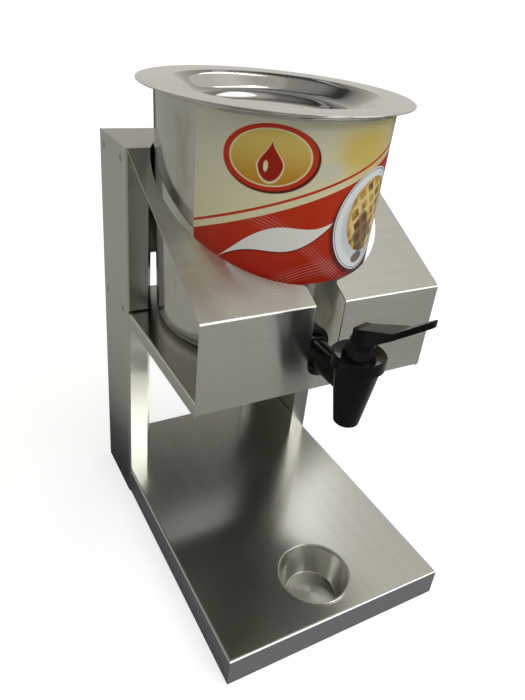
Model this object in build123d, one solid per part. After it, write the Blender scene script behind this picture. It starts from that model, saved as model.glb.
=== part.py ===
from build123d import *
import math
import os

# Countertop syrup dispenser: a bent-sheet stand holds a lift-out round pot with a loose lid. The pot
# carries a self-closing plastic faucet, and a drip cup drops into the base below it. Millimetres, +Z up.
# The origin is on the counter, under the middle of the whole object, and the faucet faces -Y.

# Sheet-metal stand
SHEET = 1.2
BEND = 2.4
BASE_WIDTH = 230.0
BASE_LENGTH = 330.2
BASE_HEIGHT = 30.0
BACK_Y = 168.2
COLUMN_DEPTH = 76.2
COLUMN_HEIGHT = 387.0
FRONT_FLANGE = 20.5
REAR_FLANGE = 50.2
SHELF_TOP = 231.0
SHELF_FLANGE = 13.0
SHELF_REAR_Y = 144.2
APRON_Y = -69.2
APRON_BOTTOM = 220.5
APRON_TOP = 302.0
REAR_PANEL_BOTTOM = 259.0
NOTCH_GAP = 2.0
SEAM = 0.5

# Round cut-out, faucet slot and spot welds
CUTOUT_RADIUS = 102.8
SLOT_WIDTH = 29.0
SLOT_BOTTOM = 233.0
SLOT_MOUTH_RADIUS = 4.0
WELD_RADIUS = 3.4
WELD_DEPTH = 0.25
WELD_INSET = 14.0
WELD_HEIGHTS = (14.0, 229.5, 375.5)
TAB_DROP = 20.0

# Pot, label and lid
POT_Y = 51.0
POT_WALL = 0.9
POT_FLOOR_RADIUS = 95.2
POT_TOP_RADIUS = 101.0
POT_CORNER = 13.0
BEAD_RADIUS = 2.0
BEAD_Z = 440.8
LID_TOP = 444.1
LID_SHEET = 1.0
LID_RADIUS = 115.2
LID_DISH_RADIUS = 92.0
LID_FLOOR_RADIUS = 61.5
LID_DEPTH = 13.0
LABEL_SHEET = 0.25
LABEL_HALF_ANGLE = 64.0
LABEL_BOTTOM = 310.0
LABEL_TOP = 437.2

# Faucet, on its own vertical axis
FAUCET_Y = -113.4
OUTLET_Z = 216.0
OUTLET_RADIUS = 10.6
CONE_TOP_RADIUS = 19.0
COLLAR_RADIUS = 21.7
COLLAR_BOTTOM = 270.5
COLLAR_TOP = 281.5
SHANK_Z = 251.0
SHANK_RADIUS = 11.8
SHOULDER_RADIUS = 13.6
SHOULDER_LENGTH = 4.6
SHOULDER_START = 8.4
FLANGE_RADIUS = 16.0
FLANGE_THICKNESS = 2.2
THREAD_RADIUS = 8.0
THREAD_PITCH = 1.6
THREAD_DEPTH = 0.7
POT_HOLE_RADIUS = 8.8
SEAL_RADIUS = 19.0
SEAL_FRONT_Y = -49.6
BORE_RADIUS = 5.0
OUTLET_MOUTH_RADIUS = 8.2
OUTLET_THROAT_RADIUS = 6.5
CHAMBER_RADIUS = 11.6
SEAT_Z = 240.0
BONNET_THREAD_RADIUS = 14.0
BONNET_THREAD_BOTTOM = 266.0
BONNET_FOOT_RADIUS = 13.6
BONNET_WAIST_RADIUS = 11.2
BONNET_WAIST_Z = 287.5
BONNET_TOP_RADIUS = 9.8
BONNET_TOP = 293.2
BONNET_SIDES = 12
STEM_RADIUS = 3.25
RUNNING = 0.05
SPRING_RADIUS = 6.6
SPRING_WIRE = 1.1
SPRING_TURNS = 7
SPRING_CEILING = 284.0
STEM_COLLAR_Z = 253.5
PIN_Z = 297.2
PIN_RADIUS = 1.5
TANG_THICKNESS = 4.0
TANG_RISE = 2.4

# Lever, with distances ahead of the stem along the way it points
LEVER_TURN = 15.0
HUB_WIDTH = 18.6
HUB_BACK = -6.0
HUB_HEEL = 10.0
HUB_BOTTOM = 293.5
HUB_TOP = 304.1
ARM_BEND = 30.7
ARM_WIDTH = 23.6
ARM_RISE = 20.4
ARM_THICKNESS = 5.2
TIP_REACH = 54.6
TIP_WIDTH = 6.4
TIP_RISE = 38.2
TIP_THICKNESS = 6.2
PIN_SLOT_FRONT = 6.7
PIN_SLOT_BACK = -4.5
PIN_SLOT_TOP = 301.5

# Fittings on the shank inside the pot, measured from the pot's inner wall
INNER_SEAL_RADIUS = 14.0
INNER_SEAL_THICKNESS = 4.0
FLAT_WASHER_RADIUS = 13.0
FLAT_WASHER_END = 5.2
NUT_CORNER_RADIUS = 13.5
NUT_END = 13.0

# Drip cup
CUP_RIM_RADIUS = 34.9
CUP_BEAD = 0.8
CUP_BEAD_Z = 31.1
CUP_FLOOR_RADIUS = 25.5
CUP_FLOOR_Z = 1.5
CUP_WALL = 0.7
CUP_HOLE_RADIUS = 34.6

CLEARANCE = 0.4
EDGE_ROUND = 0.7

# Worked out from the sizes above
HALF_BASE = BASE_WIDTH / 2
HALF_COLUMN = HALF_BASE + SHEET
COLUMN_FRONT = BACK_Y - COLUMN_DEPTH
BASE_FRONT = BACK_Y - BASE_LENGTH
WALL_SLOPE = (POT_TOP_RADIUS - POT_FLOOR_RADIUS) / (BEAD_Z - SHELF_TOP)


def block(x, y, z):
    """Box between two limits on each axis."""
    size = [high - low for low, high in (x, y, z)]
    centre = [(high + low) / 2 for low, high in (x, y, z)]
    return Pos(*centre) * Box(*size)


def upright(radius, bottom, top, y):
    """Solid cylinder on a vertical axis at x = 0."""
    return Pos(0, y, (bottom + top) / 2) * Cylinder(radius, top - bottom)


def along_y(radius, front, back, z=SHANK_Z):
    """Solid cylinder on the shank's axis, between two places along Y."""
    place = Pos(0, (front + back) / 2, z) * Rot(90, 0, 0)
    return place * Cylinder(radius, back - front)


def collar_along_y(radius, front, back):
    """Short cylinder on the shank's axis with rounded rims."""
    return fillet(along_y(radius, front, back).edges().filter_by(GeomType.CIRCLE), EDGE_ROUND)


def turned(outline, y):
    """Solid of revolution of an (r, z) outline about the vertical axis at y."""
    face = Plane.XZ * make_face(outline)
    return Pos(0, y, 0) * revolve(face, Axis.Z)


def thin_wall(path, thickness, side):
    """Closed outline of a wall beside a path."""
    return offset(path, amount=thickness, side=side, closed=True)


def pan(x, y, top, depth):
    """Sheet folded down on all four sides, open below."""
    outer = block(x, y, (top - depth, top))
    outer = fillet(outer.edges().group_by(Axis.Z)[-1], BEND)
    inner_x = (x[0] + SHEET, x[1] - SHEET)
    inner_y = (y[0] + SHEET, y[1] - SHEET)
    inner = block(inner_x, inner_y, (top - depth - BEND, top - SHEET))
    inner = fillet(inner.edges().group_by(Axis.Z)[-1], BEND - SHEET)
    return outer - inner


def pot_radius(z):
    """Outer radius of the pot's wall at a height."""
    return POT_FLOOR_RADIUS + WALL_SLOPE * (z - SHELF_TOP)


def pot_fill(inset=0.0):
    """Solid that fills the pot up to its bead, its skin moved in by an inset."""
    floor = SHELF_TOP + inset
    wall = FilletPolyline(
        (0, floor),
        (pot_radius(floor) - inset, floor),
        (pot_radius(BEAD_Z) - inset, BEAD_Z),
        radius=POT_CORNER - inset,
    )
    return turned(wall + Polyline(wall @ 1, (0, BEAD_Z), (0, floor)), POT_Y)


def base_tray():
    """Inverted pan that stands on the counter, with the cup's hole."""
    tray = pan((-HALF_BASE, HALF_BASE), (BASE_FRONT, BACK_Y), BASE_HEIGHT, BASE_HEIGHT)
    tray -= upright(CUP_HOLE_RADIUS, BASE_HEIGHT - BEND, BASE_HEIGHT + BEND, FAUCET_Y)
    seam_top = BASE_HEIGHT - BEND
    for side in (-1, 1):
        edge = sorted((side * (HALF_BASE - BEND), side * (HALF_BASE + BEND)))
        front_seam = (BASE_FRONT + SHEET, BASE_FRONT + SHEET + SEAM)
        back_seam = (BACK_Y - SHEET - SEAM, BACK_Y - SHEET)
        tray -= block(edge, front_seam, (-1, seam_top))
        tray -= block(edge, back_seam, (-1, seam_top))
    return tray


def weld_dimples(side):
    """Shallow lens shapes that spot welds press into a side panel."""
    ball = (WELD_RADIUS**2 + WELD_DEPTH**2) / (2 * WELD_DEPTH)
    x = side * (HALF_COLUMN + ball - WELD_DEPTH)
    rows = [COLUMN_FRONT + WELD_INSET, BACK_Y - WELD_INSET]
    return [Pos(x, y, z) * Sphere(ball) for y in rows for z in WELD_HEIGHTS]


def post(side):
    """C-channel of one side of the column: side panel, narrow front and wide rear flange."""
    path = FilletPolyline(
        (HALF_COLUMN - FRONT_FLANGE, COLUMN_FRONT),
        (HALF_COLUMN, COLUMN_FRONT),
        (HALF_COLUMN, BACK_Y),
        (HALF_COLUMN - REAR_FLANGE, BACK_Y),
        radius=BEND,
    )
    channel = extrude(make_face(thin_wall(path, SHEET, Side.LEFT)), COLUMN_HEIGHT)
    inboard = (0, HALF_BASE)
    depth = (COLUMN_FRONT - BEND, BACK_Y + BEND)
    cap_underside = COLUMN_HEIGHT - SHEET - BEND / 2
    channel -= block(inboard, depth, (-1, BASE_HEIGHT))
    channel -= block(inboard, depth, (cap_underside, COLUMN_HEIGHT + 1))
    notch_front = (COLUMN_FRONT - BEND, COLUMN_FRONT + 2 * BEND)
    notch_height = (SHELF_TOP - SHELF_FLANGE - NOTCH_GAP, SHELF_TOP + NOTCH_GAP)
    channel -= block(inboard, notch_front, notch_height)
    if side < 0:
        channel = mirror(channel, Plane.YZ)
    return channel - weld_dimples(side)


def left_post():
    return post(-1)


def right_post():
    return post(1)


def pot_shelf():
    """Folded shelf that carries the pot, with side flanges that run back into the column."""
    back = BACK_Y - 2 * SHEET - BEND
    front = APRON_Y + SHEET
    shelf = pan((-HALF_BASE, HALF_BASE), (front, back), SHELF_TOP, SHELF_FLANGE)
    tongue = HALF_BASE - SHEET
    below = SHELF_TOP - SHELF_FLANGE - 1
    shelf -= block((-tongue, tongue), (SHELF_REAR_Y, BACK_Y), (below, SHELF_TOP + 1))
    shelf -= block((-HALF_BASE - 1, HALF_BASE + 1), (back - BEND, BACK_Y), (below, SHELF_TOP + 1))
    return shelf - block((-tongue, tongue), (front - 1, front + SHEET), (below, APRON_BOTTOM))


def slot_tool():
    """Vertical cutter for the round opening and the faucet slot that leads out of it."""
    half = SLOT_WIDTH / 2
    front = APRON_Y - 2 * BEND
    plan = Circle(CUTOUT_RADIUS) + Pos(0, (front - POT_Y) / 2) * Rectangle(SLOT_WIDTH, POT_Y - front)
    mouth_y = -math.sqrt(CUTOUT_RADIUS**2 - half**2)
    mouth = [v for v in plan.vertices() if abs(v.Y - mouth_y) < 1]
    plan = fillet(mouth, SLOT_MOUTH_RADIUS)
    plan = Pos(0, POT_Y) * plan
    cutter = Pos(0, 0, SLOT_BOTTOM + half) * extrude(plan, COLUMN_HEIGHT)
    return cutter + along_y(half, front, POT_Y - CUTOUT_RADIUS + half, SLOT_BOTTOM + half)


def fascia_panel():
    """One folded sheet: apron, sloping top, column cap and rear panel, cut for the pot."""
    inner_back = BACK_Y - SHEET
    path = FilletPolyline(
        (inner_back, REAR_PANEL_BOTTOM),
        (inner_back, COLUMN_HEIGHT),
        (COLUMN_FRONT, COLUMN_HEIGHT),
        (APRON_Y, APRON_TOP),
        (APRON_Y, APRON_BOTTOM),
        radius=BEND,
    )
    profile = make_face(thin_wall(path, SHEET, Side.LEFT))
    sheet = extrude(Plane.YZ * profile, HALF_BASE, both=True) - slot_tool()
    tab_y = (COLUMN_FRONT + 2 * BEND, inner_back - 2 * BEND)
    tab_z = (COLUMN_HEIGHT - TAB_DROP, COLUMN_HEIGHT - SHEET)
    corner_y = (inner_back - BEND, BACK_Y)
    corner_z = (REAR_PANEL_BOTTOM - 1, COLUMN_HEIGHT - BEND)
    for side in (-1, 1):
        tab_x = sorted((side * (HALF_BASE - SHEET), side * HALF_BASE))
        corner_x = sorted((side * (HALF_BASE - BEND), side * (HALF_BASE + 1)))
        sheet -= block(corner_x, corner_y, corner_z)
        sheet += block(tab_x, tab_y, tab_z)
    return sheet


def pot():
    """Round pot with a rounded floor corner, a rolled bead and the faucet's hole."""
    body = pot_fill() - pot_fill(POT_WALL)
    bead_place = Pos(0, POT_Y, BEAD_Z)
    body += bead_place * Torus(POT_TOP_RADIUS + BEAD_RADIUS - POT_WALL, BEAD_RADIUS)
    hole_y = POT_Y - POT_TOP_RADIUS
    return body - along_y(POT_HOLE_RADIUS, hole_y - BEND, POT_Y - POT_FLOOR_RADIUS / 2)


def pot_label():
    """Thin printed wrap on the front of the pot's wall."""
    low, high = pot_radius(LABEL_BOTTOM), pot_radius(LABEL_TOP)
    section = Polyline(
        (low, LABEL_BOTTOM),
        (low + LABEL_SHEET, LABEL_BOTTOM),
        (high + LABEL_SHEET, LABEL_TOP),
        (high, LABEL_TOP),
        close=True,
    )
    face = Rot(0, 0, -90 - LABEL_HALF_ANGLE) * (Plane.XZ * make_face(section))
    return Pos(0, POT_Y, 0) * revolve(face, Axis.Z, 2 * LABEL_HALF_ANGLE)


def dish_height(r):
    """Top surface of the lid between its brim and its flat floor: half a cosine wave."""
    share = (r - LID_FLOOR_RADIUS) / (LID_DISH_RADIUS - LID_FLOOR_RADIUS)
    return LID_TOP - LID_DEPTH * (1 + math.cos(math.pi * share)) / 2


def lid_surface(drop):
    """Edges of one side of the lid, from its centre to its rim."""
    steps = 8
    width = LID_DISH_RADIUS - LID_FLOOR_RADIUS
    radii = [LID_FLOOR_RADIUS + width * k / steps for k in range(steps + 1)]
    curve = [(r, dish_height(r) - drop) for r in radii]
    floor = Line((0, curve[0][1]), curve[0])
    wave = Spline(*curve, tangents=((1, 0), (1, 0)))
    brim = Line(curve[-1], (LID_RADIUS, LID_TOP - drop))
    return floor, wave, brim


def pot_lid():
    """Loose polished lid: a flat brim around a shallow dish."""
    upper = lid_surface(0)
    lower = lid_surface(LID_SHEET)
    rim = Line((LID_RADIUS, LID_TOP - LID_SHEET), (LID_RADIUS, LID_TOP))
    axis_line = Line((0, LID_TOP - LID_DEPTH - LID_SHEET), (0, LID_TOP - LID_DEPTH))
    lid = turned(Curve() + [*upper, *lower, rim, axis_line], POT_Y)
    rim_edges = lid.edges().filter_by(GeomType.CIRCLE).sort_by(lambda edge: edge.radius)[-2:]
    return fillet(rim_edges, LID_SHEET / 2.5)


def drip_cup():
    """Small spun cup with a rolled rim."""
    neck = CUP_HOLE_RADIUS - CLEARANCE
    wall = FilletPolyline(
        (0, CUP_FLOOR_Z),
        (CUP_FLOOR_RADIUS, CUP_FLOOR_Z),
        (neck, BASE_HEIGHT - SHEET),
        (neck, CUP_BEAD_Z),
        radius=CUP_BEAD * 3,
    )
    cup = turned(thin_wall(wall, CUP_WALL, Side.LEFT), FAUCET_Y)
    return cup + Pos(0, FAUCET_Y, CUP_BEAD_Z) * Torus(CUP_RIM_RADIUS, CUP_BEAD)


def shank_thread():
    """Threaded end of the shank, its ridges drawn as rings."""
    tip_y, root_y = 26.0, 7.0
    ridges = int((tip_y - root_y) / THREAD_PITCH)
    outline = [(0, root_y), (THREAD_RADIUS, root_y)]
    for k in range(ridges):
        crest = root_y + k * THREAD_PITCH
        outline.append((THREAD_RADIUS - THREAD_DEPTH, crest + THREAD_PITCH / 2))
        outline.append((THREAD_RADIUS, crest + THREAD_PITCH))
    outline.append((0, outline[-1][1]))
    screw = revolve(make_face(Polyline(*outline, close=True)), Axis.Y)
    return Pos(0, SEAL_FRONT_Y - root_y, SHANK_Z) * screw


def faucet_body():
    """Conical spout with a collar, a shank and the passages inside."""
    corner = 0.8
    skin = Polyline(
        (0, OUTLET_Z),
        (OUTLET_RADIUS - corner, OUTLET_Z),
        (OUTLET_RADIUS, OUTLET_Z + corner),
        (CONE_TOP_RADIUS, COLLAR_BOTTOM),
        (COLLAR_RADIUS - corner, COLLAR_BOTTOM),
        (COLLAR_RADIUS, COLLAR_BOTTOM + corner),
        (COLLAR_RADIUS, COLLAR_TOP - corner),
        (COLLAR_RADIUS - corner, COLLAR_TOP),
        (COLLAR_RADIUS - 2 * corner, COLLAR_TOP),
        (BONNET_THREAD_RADIUS, COLLAR_TOP - 2 * corner),
        (0, COLLAR_TOP - 2 * corner),
        close=True,
    )
    body = turned(skin, FAUCET_Y)
    shoulder_y = SEAL_FRONT_Y - SHOULDER_START
    body += along_y(SHANK_RADIUS, FAUCET_Y, SEAL_FRONT_Y)
    body += collar_along_y(SHOULDER_RADIUS, shoulder_y, shoulder_y + SHOULDER_LENGTH)
    body += collar_along_y(FLANGE_RADIUS, SEAL_FRONT_Y - FLANGE_THICKNESS, SEAL_FRONT_Y)
    body += shank_thread()
    passage = Polyline(
        (0, OUTLET_Z - 1),
        (OUTLET_MOUTH_RADIUS, OUTLET_Z - 1),
        (OUTLET_THROAT_RADIUS, SEAT_Z - 6),
        (OUTLET_THROAT_RADIUS, SEAT_Z),
        (CHAMBER_RADIUS, SEAT_Z),
        (CHAMBER_RADIUS, BONNET_THREAD_BOTTOM),
        (BONNET_THREAD_RADIUS, BONNET_THREAD_BOTTOM),
        (BONNET_THREAD_RADIUS, COLLAR_TOP + 1),
        (0, COLLAR_TOP + 1),
        close=True,
    )
    body -= turned(passage, FAUCET_Y)
    return body - along_y(BORE_RADIUS, FAUCET_Y, SEAL_FRONT_Y + 40)


def outer_seal_washer():
    """Rubber washer between the faucet's flange and the outside of the pot."""
    ring = along_y(SEAL_RADIUS, SEAL_FRONT_Y, POT_Y)
    ring -= along_y(THREAD_RADIUS, SEAL_FRONT_Y - 1, POT_Y + 1)
    return ring - pot_fill()


def washer_inside(radius, front_gap, back_gap):
    """Ring on the shank inside the pot, its near side shaped to the wall when front_gap is zero."""
    wall_y = POT_Y - pot_radius(SHANK_Z) + POT_WALL
    ring = along_y(radius, wall_y + front_gap, wall_y + back_gap)
    return ring - along_y(THREAD_RADIUS, wall_y - 10, wall_y + 20)


def inner_seal_washer():
    """Rubber washer shaped to the inside of the pot."""
    return washer_inside(INNER_SEAL_RADIUS, 0, INNER_SEAL_THICKNESS) & pot_fill(POT_WALL)


def shank_flat_washer():
    """Thin steel washer that the nut turns against."""
    return washer_inside(FLAT_WASHER_RADIUS, INNER_SEAL_THICKNESS, FLAT_WASHER_END)


def shank_nut():
    """Hexagonal nut that clamps the faucet to the pot."""
    wall_y = POT_Y - pot_radius(SHANK_Z) + POT_WALL
    hexagon = RegularPolygon(NUT_CORNER_RADIUS, 6, major_radius=True)
    prism = extrude(hexagon, NUT_END - FLAT_WASHER_END)
    nut = Pos(0, wall_y + NUT_END, SHANK_Z) * Rot(90, 0, 0) * prism
    return nut - along_y(THREAD_RADIUS, wall_y, wall_y + 20)


def bonnet():
    """Faceted cap that screws into the collar and guides the stem."""
    foot_z = COLLAR_TOP - 1.6
    levels = [
        (BONNET_FOOT_RADIUS, foot_z),
        (BONNET_WAIST_RADIUS, BONNET_WAIST_Z),
        (BONNET_TOP_RADIUS, BONNET_TOP),
    ]
    rings = [Pos(0, 0, z) * RegularPolygon(r, BONNET_SIDES, major_radius=True) for r, z in levels]
    bell = loft([rings[0], rings[1]], ruled=True) + loft([rings[1], rings[2]], ruled=True)
    bell = Pos(0, FAUCET_Y, 0) * bell
    bell += upright(BONNET_THREAD_RADIUS, BONNET_THREAD_BOTTOM, foot_z, FAUCET_Y)
    spring_room = 9.0
    bell -= upright(spring_room, BONNET_THREAD_BOTTOM - 1, SPRING_CEILING, FAUCET_Y)
    return bell - upright(STEM_RADIUS + RUNNING, SPRING_CEILING - 1, BONNET_TOP + 1, FAUCET_Y)


def seat_cup():
    """Silicone cup that closes the outlet and grips the foot of the stem."""
    skirt = 9.0
    outline = Polyline(
        (0, SEAT_Z + 0.2),
        (skirt, SEAT_Z + 0.2),
        (skirt, SEAT_Z + 3),
        (skirt - 2, SEAT_Z + 5),
        (skirt - 2, STEM_COLLAR_Z - 2),
        (0, STEM_COLLAR_Z - 2),
        close=True,
    )
    socket = upright(STEM_RADIUS + RUNNING, SEAT_Z + 3, STEM_COLLAR_Z, FAUCET_Y)
    return turned(outline, FAUCET_Y) - socket


def lever_frame(shape):
    """Turns a shape drawn with the lever straight ahead to where the lever points."""
    return Pos(0, FAUCET_Y, 0) * Rot(0, 0, LEVER_TURN) * shape


def stem():
    """Rod with a spring collar, and a flat tang that takes the lever's pin."""
    foot = SEAT_Z + 3.2
    tang_foot, tang_top = PIN_Z - 6.4, PIN_Z + TANG_RISE
    rod = upright(STEM_RADIUS, foot, tang_top, 0)
    collar_radius, collar_thickness = 8.0, 1.6
    rod += upright(collar_radius, STEM_COLLAR_Z - collar_thickness, STEM_COLLAR_Z, 0)
    flat = TANG_THICKNESS / 2
    reach = (-2 * STEM_RADIUS, 2 * STEM_RADIUS)
    for cheek in ((flat, reach[1]), (reach[0], -flat)):
        rod -= block(cheek, reach, (tang_foot, tang_top + 1))
    pin_hole = Pos(0, 0, PIN_Z) * Rot(0, 90, 0) * Cylinder(PIN_RADIUS, HUB_WIDTH)
    return lever_frame(rod - pin_hole)


def pivot_pin():
    """Pin across the lever's hub, held in the stem."""
    pin = Rot(0, 90, 0) * Cylinder(PIN_RADIUS, HUB_WIDTH - 0.4)
    pin = chamfer(pin.edges().filter_by(GeomType.CIRCLE), 0.3)
    return lever_frame(Pos(0, 0, PIN_Z) * pin)


def stem_spring():
    """Coil spring between the stem's collar and the bonnet."""
    foot = STEM_COLLAR_Z + SPRING_WIRE / 2
    height = SPRING_CEILING - SPRING_WIRE / 2 - foot
    route = Helix(height / SPRING_TURNS, height, SPRING_RADIUS)
    section = Plane(origin=route @ 0, z_dir=route % 0) * Circle(SPRING_WIRE / 2)
    coil = sweep(section, path=route, is_frenet=True)
    return Pos(0, FAUCET_Y, foot) * coil


def lever_side():
    """Lever seen from the side: hub, cam heel, rising arm and steeper tip."""
    bend_top = HUB_TOP + ARM_BEND * math.tan(math.radians(ARM_RISE))
    tip_top = bend_top + (TIP_REACH - ARM_BEND) * math.tan(math.radians(TIP_RISE))
    edge = 1.2
    side = [
        (HUB_HEEL, HUB_BOTTOM),
        (ARM_BEND + edge, bend_top - ARM_THICKNESS),
        (TIP_REACH + edge, tip_top - TIP_THICKNESS + edge),
        (TIP_REACH, tip_top),
        (ARM_BEND, bend_top),
        (0, HUB_TOP),
        (HUB_BACK + edge, HUB_TOP - edge / 2),
        (HUB_BACK, HUB_TOP - 2 * edge),
        (HUB_BACK, HUB_BOTTOM),
    ]
    return Plane.YZ * make_face(Polyline(*[(-u, z) for u, z in side], close=True))


def lever_plan():
    """Lever seen from above: a leaf, widest at its bend, with a narrow rounded tip."""
    half_plan = [
        (HUB_WIDTH / 2, -HUB_BACK),
        (HUB_WIDTH / 2, 0),
        (ARM_WIDTH / 2, -ARM_BEND),
        (TIP_WIDTH / 2, -TIP_REACH),
    ]
    corners = [4.5, 30, 12, 2.6]
    plan = FilletPolyline(
        *half_plan,
        *[(-x, y) for x, y in reversed(half_plan)],
        radius=corners + corners[::-1],
        close=True,
    )
    return make_face(plan)


def lever():
    """Black plate lever on a forked hub whose heel lifts the stem."""
    arm = extrude(lever_side(), HUB_WIDTH, both=True)
    arm &= Pos(0, 0, HUB_BOTTOM - 1) * extrude(lever_plan(), TIP_REACH)
    outer_edges = [edge for edge in arm.edges() if edge.center().Z > HUB_BOTTOM + EDGE_ROUND / 2]
    arm = fillet(outer_edges, EDGE_ROUND)
    half_slot = TANG_THICKNESS / 2 + CLEARANCE
    slot_y = (-PIN_SLOT_FRONT, -PIN_SLOT_BACK)
    arm -= block((-half_slot, half_slot), slot_y, (HUB_BOTTOM - 1, PIN_SLOT_TOP))
    arm -= Pos(0, 0, PIN_Z) * Rot(0, 90, 0) * Cylinder(PIN_RADIUS + RUNNING, 2 * HUB_WIDTH)
    return lever_frame(arm)


BUILDERS = (
    base_tray,
    left_post,
    right_post,
    pot_shelf,
    fascia_panel,
    drip_cup,
    pot,
    pot_label,
    pot_lid,
    faucet_body,
    outer_seal_washer,
    inner_seal_washer,
    shank_flat_washer,
    shank_nut,
    bonnet,
    seat_cup,
    stem,
    stem_spring,
    pivot_pin,
    lever,
)

os.makedirs("parts", exist_ok=True)
for build in BUILDERS:
    export_step(build(), f"parts/{build.__name__}.step")
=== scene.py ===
import math

import bmesh
import bpy
from mathutils import Matrix, Quaternion, Vector


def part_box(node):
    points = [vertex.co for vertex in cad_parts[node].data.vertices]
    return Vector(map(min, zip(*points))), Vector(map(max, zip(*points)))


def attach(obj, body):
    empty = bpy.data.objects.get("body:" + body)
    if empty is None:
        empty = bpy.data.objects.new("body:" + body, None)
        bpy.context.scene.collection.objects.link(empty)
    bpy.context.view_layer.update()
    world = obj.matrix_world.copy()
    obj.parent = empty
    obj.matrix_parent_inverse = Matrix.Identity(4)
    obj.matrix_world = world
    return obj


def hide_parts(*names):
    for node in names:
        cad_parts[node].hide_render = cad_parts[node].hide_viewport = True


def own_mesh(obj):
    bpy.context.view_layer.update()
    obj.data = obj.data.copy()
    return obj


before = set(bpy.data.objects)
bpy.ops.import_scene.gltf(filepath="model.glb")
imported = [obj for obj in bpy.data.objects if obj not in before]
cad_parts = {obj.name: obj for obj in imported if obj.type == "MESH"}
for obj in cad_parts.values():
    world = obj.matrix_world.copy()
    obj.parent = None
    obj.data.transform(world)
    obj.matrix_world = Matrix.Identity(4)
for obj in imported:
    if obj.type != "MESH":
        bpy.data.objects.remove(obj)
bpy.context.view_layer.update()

MM = 0.001

# ---------------------------------------------------------------- places, all from the frame

LID_LOW, LID_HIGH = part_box("pot_lid")
LABEL_LOW, LABEL_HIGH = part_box("pot_label")
CUP_LOW, CUP_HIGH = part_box("drip_cup")
POST_LOW, POST_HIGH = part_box("left_post")
POT_Y = (LID_LOW.y + LID_HIGH.y) / 2
FAUCET_Y = (CUP_LOW.y + CUP_HIGH.y) / 2


# ---------------------------------------------------------------- node graphs

class Tree:
    """A node tree, with short calls for the nodes used here. A value is a number, a tuple or a socket."""

    def __init__(self, owner):
        owner.use_nodes = True
        self.tree = owner.node_tree
        self.tree.nodes.clear()

    def put(self, socket, value):
        if isinstance(value, bpy.types.NodeSocket):
            self.tree.links.new(value, socket)
        else:
            socket.default_value = value

    def fill(self, node, *values):
        """Puts values into a node's first inputs, in order."""
        for socket, value in zip(node.inputs, values):
            self.put(socket, value)
        return node

    def math(self, operation, *values):
        node = self.tree.nodes.new("ShaderNodeMath")
        node.operation = operation
        return self.fill(node, *values).outputs[0]

    def plus(self, first, second):
        return self.math("ADD", first, second)

    def minus(self, first, second):
        return self.math("SUBTRACT", first, second)

    def times(self, first, second):
        return self.math("MULTIPLY", first, second)

    def divided(self, first, second):
        return self.math("DIVIDE", first, second)

    def absolute(self, value):
        return self.math("ABSOLUTE", value)

    def total(self, *terms):
        result = terms[0]
        for term in terms[1:]:
            result = self.plus(result, term)
        return result

    def varied(self, base, *parts):
        """A base value plus each socket times its amount."""
        return self.total(base, *(self.times(value, amount) for value, amount in parts))

    def distance(self, first, second):
        return self.math("SQRT", self.plus(self.times(first, first), self.times(second, second)))

    def vector_math(self, operation, *values, output="Vector"):
        node = self.tree.nodes.new("ShaderNodeVectorMath")
        node.operation = operation
        return self.fill(node, *values).outputs[output]

    def coords(self, kind="Object"):
        return self.tree.nodes.new("ShaderNodeTexCoord").outputs[kind]

    def split(self, vector):
        return self.fill(self.tree.nodes.new("ShaderNodeSeparateXYZ"), vector).outputs

    def join(self, x, y, z=0.0):
        return self.fill(self.tree.nodes.new("ShaderNodeCombineXYZ"), x, y, z).outputs[0]

    def scaled(self, vector, scale):
        return self.vector_math("MULTIPLY", vector, scale)

    def across(self, direction):
        """The direction in the surface at right angles to a fixed one."""
        normal = self.tree.nodes.new("ShaderNodeNewGeometry").outputs["Normal"]
        return self.vector_math("CROSS_PRODUCT", normal, direction)

    def noise(self, vector, scale=1.0, detail=2.0, roughness=0.5):
        node = self.tree.nodes.new("ShaderNodeTexNoise")
        self.put(node.inputs["Vector"], vector)
        node.inputs["Scale"].default_value = scale
        node.inputs["Detail"].default_value = detail
        node.inputs["Roughness"].default_value = roughness
        return node.outputs["Fac"]

    def ramp(self, value, low, high, out_low=0.0, out_high=1.0):
        """Goes smoothly from out_low to out_high while the value goes from low to high."""
        node = self.tree.nodes.new("ShaderNodeMapRange")
        node.interpolation_type = "SMOOTHSTEP"
        return self.fill(node, value, low, high, out_low, out_high).outputs[0]

    def mix(self, share, first, second):
        """Colour mix: the first colour at share 0, the second at share 1."""
        node = self.tree.nodes.new("ShaderNodeMix")
        node.data_type = "RGBA"
        self.put(node.inputs[0], share)
        for socket, colour in ((node.inputs[6], first), (node.inputs[7], second)):
            if not isinstance(colour, bpy.types.NodeSocket):
                colour = (*colour, 1.0)
            self.put(socket, colour)
        return node.outputs[2]

    def ray(self, kind):
        return self.tree.nodes.new("ShaderNodeLightPath").outputs[kind]

    def seen_by_camera(self, otherwise, by_camera):
        """One shader for the camera, and another for all other rays."""
        node = self.tree.nodes.new("ShaderNodeMixShader")
        return self.fill(node, self.ray("Is Camera Ray"), otherwise, by_camera).outputs[0]

    def bump(self, height, distance, strength=1.0):
        node = self.tree.nodes.new("ShaderNodeBump")
        node.inputs["Strength"].default_value = strength
        node.inputs["Distance"].default_value = distance
        self.put(node.inputs["Height"], height)
        return node.outputs[0]


class Graph(Tree):
    """A material with one principled shader."""

    def __init__(self, name):
        self.material = bpy.data.materials.new(name)
        super().__init__(self.material)
        out = self.tree.nodes.new("ShaderNodeOutputMaterial")
        self.shader = self.tree.nodes.new("ShaderNodeBsdfPrincipled")
        self.tree.links.new(self.shader.outputs[0], out.inputs[0])

    def set(self, **values):
        """Sets the shader's sockets by name, with _ for a space."""
        for name, value in values.items():
            self.put(self.shader.inputs[name.replace("_", " ")], value)


# ---------------------------------------------------------------- steel

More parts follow.
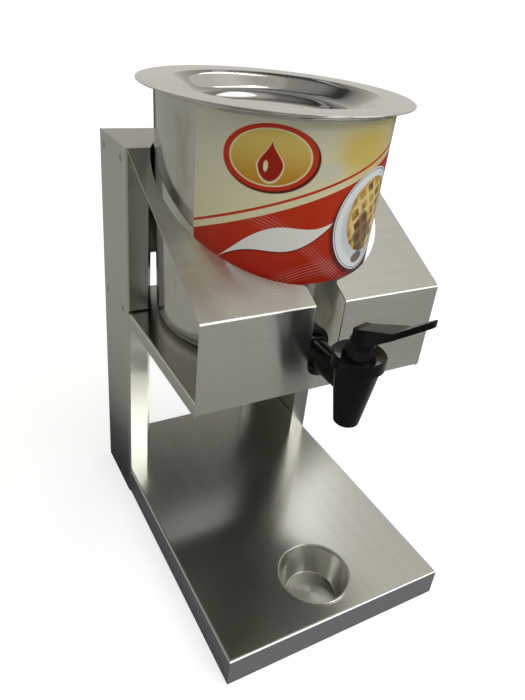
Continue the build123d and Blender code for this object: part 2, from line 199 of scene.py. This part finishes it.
STEEL_LIGHT = (0.595, 0.595, 0.56)
STEEL_DARK = (0.55, 0.55, 0.515)
STEEL_SPREAD = (0.3, 0.7)
FINE_GRAIN = (9.0, 1400.0)
COARSE_GRAIN = (3.0, 160.0)
FINE_SHARE = 0.6
COARSE_SHARE = 0.4
GRAIN = ((1.0, 0.0, 0.05), (0.0, 1.0, 0.05), (0.05, 0.0, 1.0))
WELD_TINT = (0.14, 0.13, 0.115)
WELD_STRENGTH = 0.95
WELD_MIDDLE = (1.2 * MM, 2.6 * MM)
WELD_MIDDLE_LEVEL = 0.35
WELD_EDGE = (2.8 * MM, 3.6 * MM)
WELD_INSET = 14.0 * MM
WELD_ROWS = (POST_LOW.y + WELD_INSET, POST_HIGH.y - WELD_INSET)
WELD_HEIGHTS = (14.0 * MM, 229.5 * MM, 375.5 * MM)
STAIN = (0.40, 0.35, 0.26)
STAIN_SCALE = (30.0, 30.0, 12.0)
STAIN_SPREAD = (0.5, 0.72)


def weld_marks(graph, place):
    """Rings on the round spot-weld marks down the two edges of each column side, fainter in the middle."""
    _, y, z = graph.split(place)
    gaps = []
    for value, middles in ((y, WELD_ROWS), (z, WELD_HEIGHTS)):
        nearest = 1.0
        for middle in middles:
            nearest = graph.math("MINIMUM", nearest, graph.absolute(graph.minus(value, middle)))
        gaps.append(nearest)
    distance = graph.distance(*gaps)
    return graph.times(
        graph.ramp(distance, *WELD_MIDDLE, WELD_MIDDLE_LEVEL, 1.0),
        graph.ramp(distance, *WELD_EDGE, 1.0, 0.0),
    )


def stretched(scales, grain):
    """Noise scales for streaks: the first along the grain's axis, the second across it."""
    along, across = scales
    return tuple(along if axis == grain else across for axis in range(3))


def brushed_steel(name, grain, rough=0.19, anisotropy=1.0, welded=False):
    """Brushed stainless sheet: streaks along the grain's axis, soft blotches from handling."""
    graph = Graph(name)
    place = graph.coords()
    fine = graph.noise(graph.scaled(place, stretched(FINE_GRAIN, grain)), 1.0, 3.0, 0.6)
    coarse = graph.noise(graph.scaled(place, stretched(COARSE_GRAIN, grain)), 1.0, 2.0)
    blotch = graph.noise(place, 14.0, 3.0, 0.55)
    streak = graph.plus(graph.times(fine, FINE_SHARE), graph.times(coarse, COARSE_SHARE))
    colour = graph.mix(graph.ramp(streak, *STEEL_SPREAD), STEEL_DARK, STEEL_LIGHT)
    if welded:
        colour = graph.mix(graph.times(weld_marks(graph, place), WELD_STRENGTH), colour, WELD_TINT)
    graph.set(
        Base_Color=colour,
        Metallic=1.0,
        Roughness=graph.varied(rough - 0.04, (streak, 0.05), (blotch, 0.05)),
        Anisotropic=anisotropy,
        Tangent=graph.across(GRAIN[grain]),
        Normal=graph.bump(fine, 0.004 * MM, 0.5),
    )
    return graph.material


def spun_steel(name, centre_y, rough=0.2, rings=900.0, anisotropy=0.0, stain=0.0):
    """Steel turned on a lathe: fine rings about a vertical axis, and faint brown stains."""
    graph = Graph(name)
    place = graph.coords()
    x, y, z = graph.split(place)
    dy = graph.minus(y, centre_y)
    path = graph.plus(graph.distance(x, dy), graph.times(z, 0.8))
    ring = graph.noise(graph.join(graph.times(path, rings), 0.0), 1.0, 3.0, 0.6)
    blotch = graph.noise(place, 18.0, 3.0)
    smear = graph.ramp(graph.noise(graph.scaled(place, STAIN_SCALE), 1.0, 4.0, 0.6), *STAIN_SPREAD)
    colour = graph.mix(graph.ramp(ring, *STEEL_SPREAD), STEEL_DARK, STEEL_LIGHT)
    graph.set(
        Base_Color=graph.mix(graph.times(smear, stain), colour, STAIN),
        Metallic=1.0,
        Roughness=graph.varied(rough - 0.06, (ring, 0.08), (blotch, 0.05)),
        Anisotropic=anisotropy,
        Tangent=graph.across(graph.join(graph.times(dy, -1.0), x)),
        Normal=graph.bump(ring, 0.03 * MM, 0.6),
    )
    return graph.material


POLISH_DARK = (0.53, 0.525, 0.51)
POLISH_LIGHT = (0.6, 0.595, 0.58)


def polished_steel(name, rough=0.045):
    """Polished steel: nearly a mirror, with faint wipe marks."""
    graph = Graph(name)
    place = graph.coords()
    wipe = graph.noise(graph.scaled(place, (40.0, 220.0, 40.0)), 1.0, 4.0, 0.6)
    haze = graph.noise(place, 12.0, 2.0)
    graph.set(
        Base_Color=graph.mix(graph.ramp(haze, *STEEL_SPREAD), POLISH_DARK, POLISH_LIGHT),
        Metallic=1.0,
        Roughness=graph.varied(rough - 0.03, (wipe, 0.03), (haze, 0.03)),
        Normal=graph.bump(wipe, 0.001 * MM, 0.4),
    )
    return graph.material


# ---------------------------------------------------------------- plastic, rubber and wire

PLASTIC_BLACK = (0.004, 0.004, 0.0045)
PLASTIC_DUST = (0.014, 0.014, 0.015)
VALVE_BLACK = (0.02, 0.02, 0.021)
RUBBER_BLACK = (0.016, 0.016, 0.016)
RUBBER_BLOOM = (0.035, 0.034, 0.033)


def moulded_plastic(name, colour=PLASTIC_BLACK, rough=0.07):
    """Black moulded plastic, with a faint orange peel and fine scuffs."""
    graph = Graph(name)
    place = graph.coords()
    peel = graph.noise(place, 420.0, 2.0)
    scuff = graph.noise(graph.scaled(place, (900.0, 900.0, 120.0)), 1.0, 4.0, 0.7)
    dust = graph.ramp(scuff, 0.62, 0.75)
    graph.set(
        Base_Color=graph.mix(graph.times(dust, 0.3), colour, PLASTIC_DUST),
        Roughness=graph.varied(rough, (peel, 0.03), (dust, 0.1)),
        IOR=1.45,
        Specular_IOR_Level=0.22,
        Normal=graph.bump(peel, 0.01 * MM, 0.4),
    )
    return graph.material


def rubber(name):
    """Matt black rubber with a fine grain."""
    graph = Graph(name)
    place = graph.coords()
    grain = graph.noise(place, 1600.0, 3.0)
    bloom = graph.noise(place, 120.0, 2.0)
    graph.set(
        Base_Color=graph.mix(graph.ramp(bloom, 0.4, 0.8), RUBBER_BLACK, RUBBER_BLOOM),
        Roughness=graph.ramp(bloom, 0.2, 0.8, 0.5, 0.65),
        Normal=graph.bump(grain, 0.06 * MM, 0.6),
    )
    return graph.material


# ---------------------------------------------------------------- printed label

CREAM = (0.66, 0.64, 0.52)
YELLOW = (0.76, 0.71, 0.46)
GOLD = (0.68, 0.53, 0.14)
ORANGE = (0.52, 0.24, 0.015)
RED = (0.53, 0.035, 0.008)
RED_DEEP = (0.34, 0.012, 0.003)
RED_DARK = (0.10, 0.01, 0.004)
PLATE = (0.84, 0.86, 0.89)
PLATE_RIM = (0.16, 0.22, 0.36)
WAFFLE = (0.60, 0.34, 0.06)
WAFFLE_PALE = (0.76, 0.62, 0.26)
WAFFLE_DARK = (0.20, 0.06, 0.012)
SYRUP = (0.09, 0.022, 0.006)
WHITE = (0.80, 0.80, 0.78)

# Places and sizes on the print are millimetres: u from the label's middle, v from its lower edge
EDGE = 0.3
GROUND_PATCHES = (
    ((40.0, 112.0), (44.0, 34.0), YELLOW),
    ((30.0, 106.0), (38.0, 23.0), GOLD),
    ((84.0, 140.0), (26.0, 34.0), GOLD),
    ((-6.0, 92.0), (13.0, 9.0), CREAM),
    ((26.0, 139.0), (22.0, 6.0), WHITE),
)
FIELD_SLOPE = 0.335
FIELD_BOW = -0.0002
FIELD_LIFT = 75.6
STRIPE_LIFT = 6.6
STRIPE_HALF = 1.1
CURVE_PITCH = 2.6
CURVE_BUNDLES = ((0.5, 14.0, 0.05), (-0.55, 18.0, 0.04))
BADGE_CENTRE = (-52.0, 100.0)
BADGE_RADII = (35.0, 24.0)
DROP_RADII = (9.5, 14.5)
GLINT_RADII = (1.7, 4.0)
PLATE_CENTRE = (50.0, 47.0)
PLATE_RADII = (43.5, 43.5)
PLATE_SHADOW = ((47.5, 44.5), (44.5, 44.5))
WAFFLE_PLACE = ((52.0, 51.0), (34.0, 34.0))
WAFFLE_PITCH = 11.5
WAFFLE_TURN = (0.9, 0.42)
POOL_PLACE = ((46.0, 34.0), (17.0, 26.0))
SPILL_PLACE = ((44.0, 15.0), (9.0, 5.0))


def ellipse(graph, u, v, centre, radii):
    """Distance in radii from an ellipse's centre: 1 on its outline."""
    du = graph.divided(graph.minus(u, centre[0]), radii[0])
    dv = graph.divided(graph.minus(v, centre[1]), radii[1])
    return graph.distance(du, dv)


def inside(graph, distance, limit, soft):
    """1 where the distance is under the limit, with a soft edge."""
    return graph.ramp(distance, limit - soft, limit + soft, 1.0, 0.0)


def band(graph, value, middle, half_width, soft):
    """1 near a value, with soft edges."""
    return inside(graph, graph.absolute(graph.minus(value, middle)), half_width, soft)


def off_middle(graph, value, pitch):
    """Distance from the middle of a repeating cell, in cells: 0 at the middle, 0.5 on its edges."""
    return graph.absolute(graph.minus(graph.math("FRACT", graph.divided(value, pitch)), 0.5))


def print_ground(graph, u, v):
    """Cream ground with soft golden patches and one pale cloud."""
    cloud = graph.times(graph.noise(graph.join(u, v), 0.045, 3.0), 0.5)
    height = graph.minus(v, graph.times(u, 0.3))
    colour = graph.mix(graph.ramp(height, 60.0, 150.0), YELLOW, CREAM)
    for centre, radii, tone in GROUND_PATCHES:
        patch = graph.plus(ellipse(graph, u, v, centre, radii), cloud)
        colour = graph.mix(graph.ramp(patch, 0.6, 1.5, 1.0, 0.0), colour, tone)
    return colour


def print_field(graph, u, v):
    """Red field, deeper low down, with bundles of faint pale curves."""
    swirl = graph.noise(graph.join(graph.times(u, 0.25), v), 0.05, 2.0)
    shade = graph.plus(graph.ramp(v, -5.0, 55.0, 0.0, 0.75), graph.times(swirl, 0.3))
    colour = graph.mix(shade, RED_DEEP, RED)
    for slope, lift, curl in CURVE_BUNDLES:
        wave = graph.times(graph.math("SINE", graph.times(u, curl)), 7.0)
        path = graph.total(v, graph.times(u, -slope), wave, -lift)
        lines = graph.ramp(off_middle(graph, path, CURVE_PITCH), 0.06, 0.16, 1.0, 0.0)
        bundle = graph.times(lines, band(graph, path, 0.0, 6.0, 4.0))
        colour = graph.mix(graph.times(bundle, 0.22), colour, WHITE)
    return colour


def print_ribbon(graph, u, v, colour):
    """A plain pale ribbon that rises across the field, with a dark edge under it."""
    wave = graph.times(graph.math("SINE", graph.times(graph.plus(u, 88.0), 0.0604)), 6.0)
    middle = graph.total(graph.times(u, 0.4), wave, 53.0)
    half_width = graph.ramp(graph.absolute(graph.plus(u, 38.0)), 0.0, 52.0, 10.0, 0.0)
    gap = graph.minus(v, middle)
    under = graph.minus(graph.absolute(graph.plus(gap, 1.4)), half_width)
    colour = graph.mix(graph.ramp(under, -0.8, 0.8, 0.75, 0.0), colour, RED_DARK)
    over = graph.minus(graph.absolute(gap), half_width)
    return graph.mix(graph.ramp(over, -EDGE, EDGE, 1.0, 0.0), colour, WHITE)


def print_badge(graph, u, v, colour):
    """A plain oval badge with a drop in it."""
    badge = ellipse(graph, u, v, BADGE_CENTRE, BADGE_RADII)
    shadow = ellipse(graph, u, v, (BADGE_CENTRE[0] + 1.2, BADGE_CENTRE[1] - 1.2), BADGE_RADII)
    colour = graph.mix(inside(graph, shadow, 1.03, 0.02), colour, RED_DARK)
    colour = graph.mix(inside(graph, badge, 1.0, 0.012), colour, RED)
    colour = graph.mix(inside(graph, badge, 0.87, 0.012), colour, YELLOW)
    glow = graph.mix(graph.ramp(v, 78.0, 116.0), ORANGE, GOLD)
    colour = graph.mix(inside(graph, badge, 0.83, 0.012), colour, glow)
    taper = graph.ramp(v, 93.0, 114.0, 1.0, 0.04)
    drop_u = graph.divided(graph.minus(u, BADGE_CENTRE[0]), taper)
    drop = ellipse(graph, drop_u, v, (0.0, BADGE_CENTRE[1] - 2.5), DROP_RADII)
    colour = graph.mix(inside(graph, drop, 1.12, 0.05), colour, YELLOW)
    colour = graph.mix(inside(graph, drop, 1.0, 0.05), colour, RED_DEEP)
    glint = ellipse(graph, u, v, (BADGE_CENTRE[0] - 3.4, BADGE_CENTRE[1] - 6.0), GLINT_RADII)
    return graph.mix(inside(graph, glint, 1.0, 0.2), colour, YELLOW)


def print_plate(graph, u, v, colour):
    """Round white plate with a blue-grey rim line and a square-grid waffle under syrup."""
    shadow = ellipse(graph, u, v, *PLATE_SHADOW)
    colour = graph.mix(inside(graph, shadow, 1.0, 0.05), colour, RED_DARK)
    plate = ellipse(graph, u, v, PLATE_CENTRE, PLATE_RADII)
    colour = graph.mix(inside(graph, plate, 1.0, 0.01), colour, PLATE)
    colour = graph.mix(band(graph, plate, 0.965, 0.009, 0.008), colour, PLATE_RIM)
    colour = graph.mix(graph.times(inside(graph, plate, 0.8, 0.06), 0.3), colour, PLATE_RIM)
    ragged = graph.times(graph.noise(graph.join(u, v), 0.12, 2.0), 0.12)
    waffle = graph.plus(ellipse(graph, u, v, *WAFFLE_PLACE), ragged)
    crust = graph.mix(graph.ramp(waffle, 0.8, 1.02), WAFFLE_PALE, WAFFLE)
    bend = graph.times(graph.noise(graph.join(u, v), 0.06, 2.0), 5.0)
    along, aside = WAFFLE_TURN
    slant_u = graph.total(graph.times(u, along), graph.times(v, aside), bend)
    slant_v = graph.total(graph.times(v, along), graph.times(u, -aside), bend)
    pockets = None
    for axis in (slant_u, slant_v):
        pocket = graph.ramp(off_middle(graph, axis, WAFFLE_PITCH), 0.26, 0.38, 1.0, 0.0)
        pockets = pocket if pockets is None else graph.times(pockets, pocket)
    toast = graph.ramp(graph.noise(graph.join(u, v), 0.07, 2.0), 0.35, 0.65)
    crust = graph.mix(pockets, crust, graph.mix(toast, WAFFLE_DARK, WAFFLE))
    pool = graph.plus(ellipse(graph, u, v, *POOL_PLACE), graph.times(toast, 0.35))
    crust = graph.mix(graph.times(inside(graph, pool, 0.95, 0.15), 0.8), crust, SYRUP)
    colour = graph.mix(inside(graph, waffle, 1.0, 0.02), colour, crust)
    spill = ellipse(graph, u, v, *SPILL_PLACE)
    return graph.mix(graph.times(inside(graph, spill, 1.0, 0.15), 0.85), colour, SYRUP)


def printed_label(name):
    """Plain print: two colour fields, a badge, a ribbon and a plate, with no lettering."""
    graph = Graph(name)
    u, v, _ = graph.split(graph.scaled(graph.coords("UV"), (1000.0, 1000.0, 0.0)))
    colour = print_ground(graph, u, v)
    colour = print_badge(graph, u, v, colour)

    # The field's upper edge rises from left to right, with a stripe above it
    bow = graph.times(graph.times(u, u), FIELD_BOW)
    rise = graph.total(graph.times(u, FIELD_SLOPE), bow, FIELD_LIFT)
    above = graph.minus(v, rise)
    colour = graph.mix(band(graph, above, STRIPE_LIFT, STRIPE_HALF, EDGE), colour, RED)
    colour = graph.mix(inside(graph, above, 0.0, EDGE), colour, print_field(graph, u, v))
    colour = print_ribbon(graph, u, v, colour)
    colour = print_plate(graph, u, v, colour)

    dots = graph.noise(graph.join(u, v), 2.2, 2.0)
    graph.set(
        Base_Color=colour,
        Roughness=graph.ramp(dots, 0.3, 0.7, 0.2, 0.3),
        Specular_IOR_Level=0.3,
        IOR=1.47,
        Normal=graph.bump(graph.noise(graph.join(u, v), 0.35, 3.0), 0.03 * MM, 0.5),
    )
    return graph.material


# ---------------------------------------------------------------- camera, light and floor

CAMERA_PLACE = Vector((-282.80, -425.38, 518.14)) * MM
CAMERA_YAW, CAMERA_PITCH, CAMERA_ROLL = -0.55905, -0.53281, 0.11367
CAMERA_LENS = 32.01
CAMERA_SENSOR = 36.0
CAMERA_NEAR = 0.01


def make_camera():
    """Camera above the left front corner, turned to the photograph's view."""
    forward = Vector((
        -math.sin(CAMERA_YAW) * math.cos(CAMERA_PITCH),
        math.cos(CAMERA_YAW) * math.cos(CAMERA_PITCH),
        math.sin(CAMERA_PITCH),
    ))
    level = Vector((math.cos(CAMERA_YAW), math.sin(CAMERA_YAW), 0))
    upward = level.cross(forward)
    right = math.cos(CAMERA_ROLL) * level + math.sin(CAMERA_ROLL) * upward
    above = math.cos(CAMERA_ROLL) * upward - math.sin(CAMERA_ROLL) * level
    data = bpy.data.cameras.new("camera")
    data.lens = CAMERA_LENS
    data.sensor_width = CAMERA_SENSOR
    data.clip_start = CAMERA_NEAR
    camera = bpy.data.objects.new("camera", data)
    bpy.context.scene.collection.objects.link(camera)
    axes = Matrix((right, above, -forward)).transposed()
    camera.matrix_world = Matrix.Translation(CAMERA_PLACE) @ axes.to_4x4()
    bpy.context.scene.camera = camera


# Name, place, aim, width and length in metres, watts, and a turn about the vertical in degrees
PANELS = (
    ("strip", (1.21, 1.44, 2.3), (1.21, 1.44, 0), (0.2, 1.63), 1.8, -41.4),
    ("panel rear", (1.0, 1.93, 2.3), (1.0, 1.93, 0), (0.9, 0.25), 0.27, 0.0),
    ("panel front", (0.85, -2.4, 2.2), (0, 0, 0.3), (1.2, 0.6), 13.0, 0.0),
)
OVERALL_AIM = (-0.35, 0.5, -1.0)
OVERALL_STRENGTH = 1.05
OVERALL_SPREAD = math.radians(60)


def area_light(name, place, target, size, watts, turn):
    """Rectangular light, seen in the steel but not by the camera."""
    data = bpy.data.lights.new(name, "AREA")
    data.shape = "RECTANGLE"
    data.size, data.size_y = size
    data.energy = watts
    light = bpy.data.objects.new(name, data)
    light.location = place
    light.rotation_mode = "QUATERNION"
    aim = (Vector(target) - Vector(place)).to_track_quat("-Z", "Y")
    light.rotation_quaternion = Quaternion((0, 0, 1), math.radians(turn)) @ aim
    light.visible_camera = False
    bpy.context.scene.collection.objects.link(light)


def make_light():
    """Ceiling strip and panel behind on the right, panel in front, and one soft overall light."""
    for panel in PANELS:
        area_light(*panel)
    data = bpy.data.lights.new("overall", "SUN")
    data.energy = OVERALL_STRENGTH
    data.angle = OVERALL_SPREAD
    light = bpy.data.objects.new("overall", data)
    light.rotation_mode = "QUATERNION"
    light.rotation_quaternion = Vector(OVERALL_AIM).to_track_quat("-Z", "Y")
    light.visible_glossy = False
    bpy.context.scene.collection.objects.link(light)


# Room levels by height, from 0 at the horizon to 1 overhead
SIDE_LEVELS = ((0.0, 0.6), (0.2, 0.68), (0.35, 0.62), (0.68, 0.64), (0.84, 0.82), (0.95, 0.6), (1.0, 0.4))
REAR_LEVELS = (
    (0.0, 0.6), (0.22, 0.7), (0.45, 0.44), (0.6, 0.28), (0.63, 0.2),
    (0.67, 0.05), (0.74, 0.06), (0.84, 0.3), (1.0, 0.4),
)
ROOM_TINT = (1.0, 0.98, 0.9)
SIDE_FRONT = -0.75
SIDE_UP = 0.5
SIDE_EDGE = (0.31, 0.4)
SIDE_GAIN = (0.3, 0.62, 0.85, 1.06)
WINDOW_AIM = (0.561, -0.80, 0.208)
WINDOW_EDGE = (0.91, 0.95)
WINDOW_LEVEL = 2.6


def sky_ramp(world, height, levels):
    """Tinted brightness by height."""
    ramp = world.tree.nodes.new("ShaderNodeValToRGB")
    stops = ramp.color_ramp.elements
    for place, _ in levels[1:-1]:
        stops.new(place)
    for stop, (place, level) in zip(stops, levels):
        stop.position = place
        stop.color = (*(level * tint for tint in ROOM_TINT), 1)
    return world.fill(ramp, height).outputs[0]


def make_world():
    """Room seen by the steel, with a white backdrop for the camera.

    The room is brighter to the right and in front than behind. Only glossy rays see the window.
    """
    room = bpy.data.worlds.new("room")
    bpy.context.scene.world = room
    world = Tree(room)
    direction = world.coords("Generated")
    x, y, z = world.split(direction)
    side = world.math("MULTIPLY_ADD", z, SIDE_UP, world.math("MULTIPLY_ADD", y, SIDE_FRONT, x))
    side_light = world.tree.nodes.new("ShaderNodeVectorMath")
    side_light.operation = "SCALE"
    world.fill(side_light, sky_ramp(world, z, SIDE_LEVELS))
    world.put(side_light.inputs["Scale"], world.ramp(x, *SIDE_GAIN))
    rear_light = sky_ramp(world, z, REAR_LEVELS)
    sky = world.mix(world.ramp(side, *SIDE_EDGE), rear_light, side_light.outputs[0])
    toward = world.vector_math("DOT_PRODUCT", direction, WINDOW_AIM, output="Value")
    window = world.times(world.ramp(toward, *WINDOW_EDGE, 0.0, WINDOW_LEVEL), world.ray("Is Glossy Ray"))
    seen = world.fill(world.tree.nodes.new("ShaderNodeBackground"), world.vector_math("ADD", sky, window))
    white = world.fill(world.tree.nodes.new("ShaderNodeBackground"), (1, 1, 1, 1))
    out = world.tree.nodes.new("ShaderNodeOutputWorld")
    world.fill(out, world.seen_by_camera(seen.outputs[0], white.outputs[0]))


FLOOR_HALF = 60.0
FLOOR_DROP = 0.0004
FLOOR_PALE = (0.5, 0.5, 0.5, 1)
FLOOR_LIFT = 0.68

# The floor's tones as the steel sees them, and where each gives way to the next, in metres
FLOOR_FAR = (0.5, 0.505, 0.487)
# Painted shade: the floor darker and bluish close to the object
FLOOR_NEAR_SHADE = (0.26, 0.272, 0.31)
FLOOR_SHADE = (0.14, 0.145, 0.15)
FLOOR_FRONT = (0.34, 0.345, 0.335)
NEAR_EDGE = (0.2, 0.32)
FRONT_EDGE = (-0.35, -0.15)
SHADE_LEFT = (-0.17, -0.15)
SHADE_FRONT = (0.07, 0.12)


def floor_tone(floor):
    """Floor colour as the steel sees it: painted shade that makes it darker and bluish close by, and shaded
    beside and behind the column's foot.
    """
    place = floor.coords()
    x, y, _ = floor.split(place)
    distance = floor.vector_math("LENGTH", place, output="Value")
    near = floor.mix(floor.ramp(distance, *NEAR_EDGE), FLOOR_NEAR_SHADE, FLOOR_FAR)
    front = floor.mix(floor.ramp(y, *FRONT_EDGE), FLOOR_FRONT, near)
    shade = floor.times(floor.ramp(x, *SHADE_LEFT), floor.ramp(y, *SHADE_FRONT))
    return floor.mix(shade, front, FLOOR_SHADE)


def make_floor():
    """Pale matt floor, which the steel sees darker than the camera does."""
    bm = bmesh.new()
    corners = [(x * FLOOR_HALF, y * FLOOR_HALF, -FLOOR_DROP) for x, y in ((-1, -1), (1, -1), (1, 1), (-1, 1))]
    bm.faces.new([bm.verts.new(corner) for corner in corners])
    mesh = bpy.data.meshes.new("floor")
    bm.to_mesh(mesh)
    bm.free()
    floor = bpy.data.objects.new("floor", mesh)
    bpy.context.scene.collection.objects.link(floor)
    material = bpy.data.materials.new("floor")
    tree = Tree(material)
    new = tree.tree.nodes.new
    pale = tree.fill(new("ShaderNodeBsdfDiffuse"), FLOOR_PALE)
    lift = tree.fill(new("ShaderNodeEmission"), (1, 1, 1, 1), FLOOR_LIFT)
    lifted = tree.fill(new("ShaderNodeAddShader"), pale.outputs[0], lift.outputs[0])
    dim = tree.fill(new("ShaderNodeBsdfDiffuse"), floor_tone(tree))
    tree.fill(new("ShaderNodeOutputMaterial"), tree.seen_by_camera(dim.outputs[0], lifted.outputs[0]))
    mesh.materials.append(material)


bpy.context.scene.view_settings.view_transform = "Standard"
make_camera()
make_world()
make_floor()
make_light()

# ---------------------------------------------------------------- materials

SHEET_X = brushed_steel("brushed sheet, grain across", 0)
SHEET_Y = brushed_steel("satin sheet, grain front to back", 1, rough=0.175, anisotropy=0.8)
SHEET_Z = brushed_steel("brushed sheet, grain upright", 2, welded=True)
POT_STEEL = spun_steel("satin pot", POT_Y, rough=0.14, stain=0.6)
CUP_STEEL = spun_steel("spun cup", FAUCET_Y, rough=0.27, rings=1500.0, anisotropy=0.85)
LID_STEEL = polished_steel("polished lid")
BLACK = moulded_plastic("black moulded plastic")
VALVE = moulded_plastic("black valve plastic", VALVE_BLACK, 0.35)
RUBBER = rubber("black rubber")
WIRE = polished_steel("bright wire", 0.2)
PRINT = printed_label("printed vinyl")

CAD_MATERIALS = {
    "base_tray": SHEET_Y,
    "left_post": SHEET_Z,
    "right_post": SHEET_Z,
    "pot_shelf": SHEET_X,
    "fascia_panel": SHEET_X,
    "pot": POT_STEEL,
    "pot_lid": LID_STEEL,
    "drip_cup": CUP_STEEL,
    "pot_label": PRINT,
    "faucet_body": BLACK,
    "bonnet": BLACK,
    "lever": BLACK,
    "shank_nut": BLACK,
    "outer_seal_washer": RUBBER,
    "inner_seal_washer": RUBBER,
    "seat_cup": RUBBER,
    "shank_flat_washer": WIRE,
    "stem_spring": WIRE,
    "pivot_pin": BLACK,
    "stem": VALVE,
}
for node_name, material in CAD_MATERIALS.items():
    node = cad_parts[node_name]
    node.data.materials.clear()
    node.data.materials.append(material)


# ---------------------------------------------------------------- pieces made here

LABEL_COLUMNS = 96
LABEL_ROWS = 6
LABEL_HALF_ANGLE = math.radians(64.0)
LABEL_GAP = 0.12 * MM
LABEL_SKIN = 0.25 * MM
LABEL_SHARP = math.radians(40)


def label_back(z):
    """Radius of the back of the label's CAD skin near a height, measured at its middle."""
    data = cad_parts["pot_label"].data
    return POT_Y - max(v.co.y for v in data.vertices if abs(v.co.z - z) < 0.5 * MM and abs(v.co.x) < 4 * MM)


def label_sheet(bm, low_radius, high_radius):
    """Grid of vertices round the pot's front, from the label's lower edge up."""
    grid = []
    for row in range(LABEL_ROWS + 1):
        share = row / LABEL_ROWS
        radius = low_radius + (high_radius - low_radius) * share
        z = LABEL_LOW.z + (LABEL_HIGH.z - LABEL_LOW.z) * share
        line = []
        for column in range(LABEL_COLUMNS + 1):
            angle = LABEL_HALF_ANGLE * (2 * column / LABEL_COLUMNS - 1)
            line.append(bm.verts.new((radius * math.sin(angle), POT_Y - radius * math.cos(angle), z)))
        grid.append(line)
    return grid


def label_border():
    """Rows and columns of the grid's outline, in order round it."""
    border = [(0, column) for column in range(LABEL_COLUMNS)]
    border += [(row, LABEL_COLUMNS) for row in range(LABEL_ROWS)]
    border += [(LABEL_ROWS, column) for column in range(LABEL_COLUMNS, 0, -1)]
    return border + [(row, 0) for row in range(LABEL_ROWS, 0, -1)]


def make_label():
    """Thin printed wrap, just proud of the pot's wall, with its print laid out in metres."""
    low_radius, high_radius = label_back(LABEL_LOW.z), label_back(LABEL_HIGH.z)
    mean = (low_radius + high_radius) / 2
    bm = bmesh.new()
    uv = bm.loops.layers.uv.new("print")
    lifts = (LABEL_GAP, LABEL_GAP + LABEL_SKIN)
    sheets = [label_sheet(bm, low_radius + lift, high_radius + lift) for lift in lifts]
    place = {}
    for grid in sheets:
        for row, line in enumerate(grid):
            for column, vert in enumerate(line):
                place[vert] = (
                    mean * LABEL_HALF_ANGLE * (2 * column / LABEL_COLUMNS - 1),
                    (LABEL_HIGH.z - LABEL_LOW.z) * row / LABEL_ROWS,
                )
    inner, outer = sheets
    for row in range(LABEL_ROWS):
        for column in range(LABEL_COLUMNS):
            for grid in sheets:
                low, high = grid[row], grid[row + 1]
                bm.faces.new((low[column], low[column + 1], high[column + 1], high[column]))
    border = label_border()
    for (row, column), (next_row, next_column) in zip(border, border[1:] + border[:1]):
        bm.faces.new((
            inner[row][column], inner[next_row][next_column],
            outer[next_row][next_column], outer[row][column],
        ))
    for face in bm.faces:
        for loop in face.loops:
            loop[uv].uv = place[loop.vert]
    bmesh.ops.recalc_face_normals(bm, faces=bm.faces)
    mesh = bpy.data.meshes.new("label_wrap")
    bm.to_mesh(mesh)
    bm.free()
    wrap = bpy.data.objects.new("label_wrap", mesh)
    bpy.context.scene.collection.objects.link(wrap)
    mesh.shade_smooth()
    mesh.set_sharp_from_angle(angle=LABEL_SHARP)
    mesh.materials.append(PRINT)
    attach(wrap, "pot_assembly")
    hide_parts("pot_label")


def make_spring():
    """Copy of the return spring, attached to the seat valve's body in place of the CAD spring."""
    coil = bpy.data.objects.new("return_coil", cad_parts["stem_spring"].data.copy())
    bpy.context.scene.collection.objects.link(coil)
    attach(coil, "seat_valve")
    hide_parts("stem_spring")
    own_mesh(coil)


make_label()
make_spring()
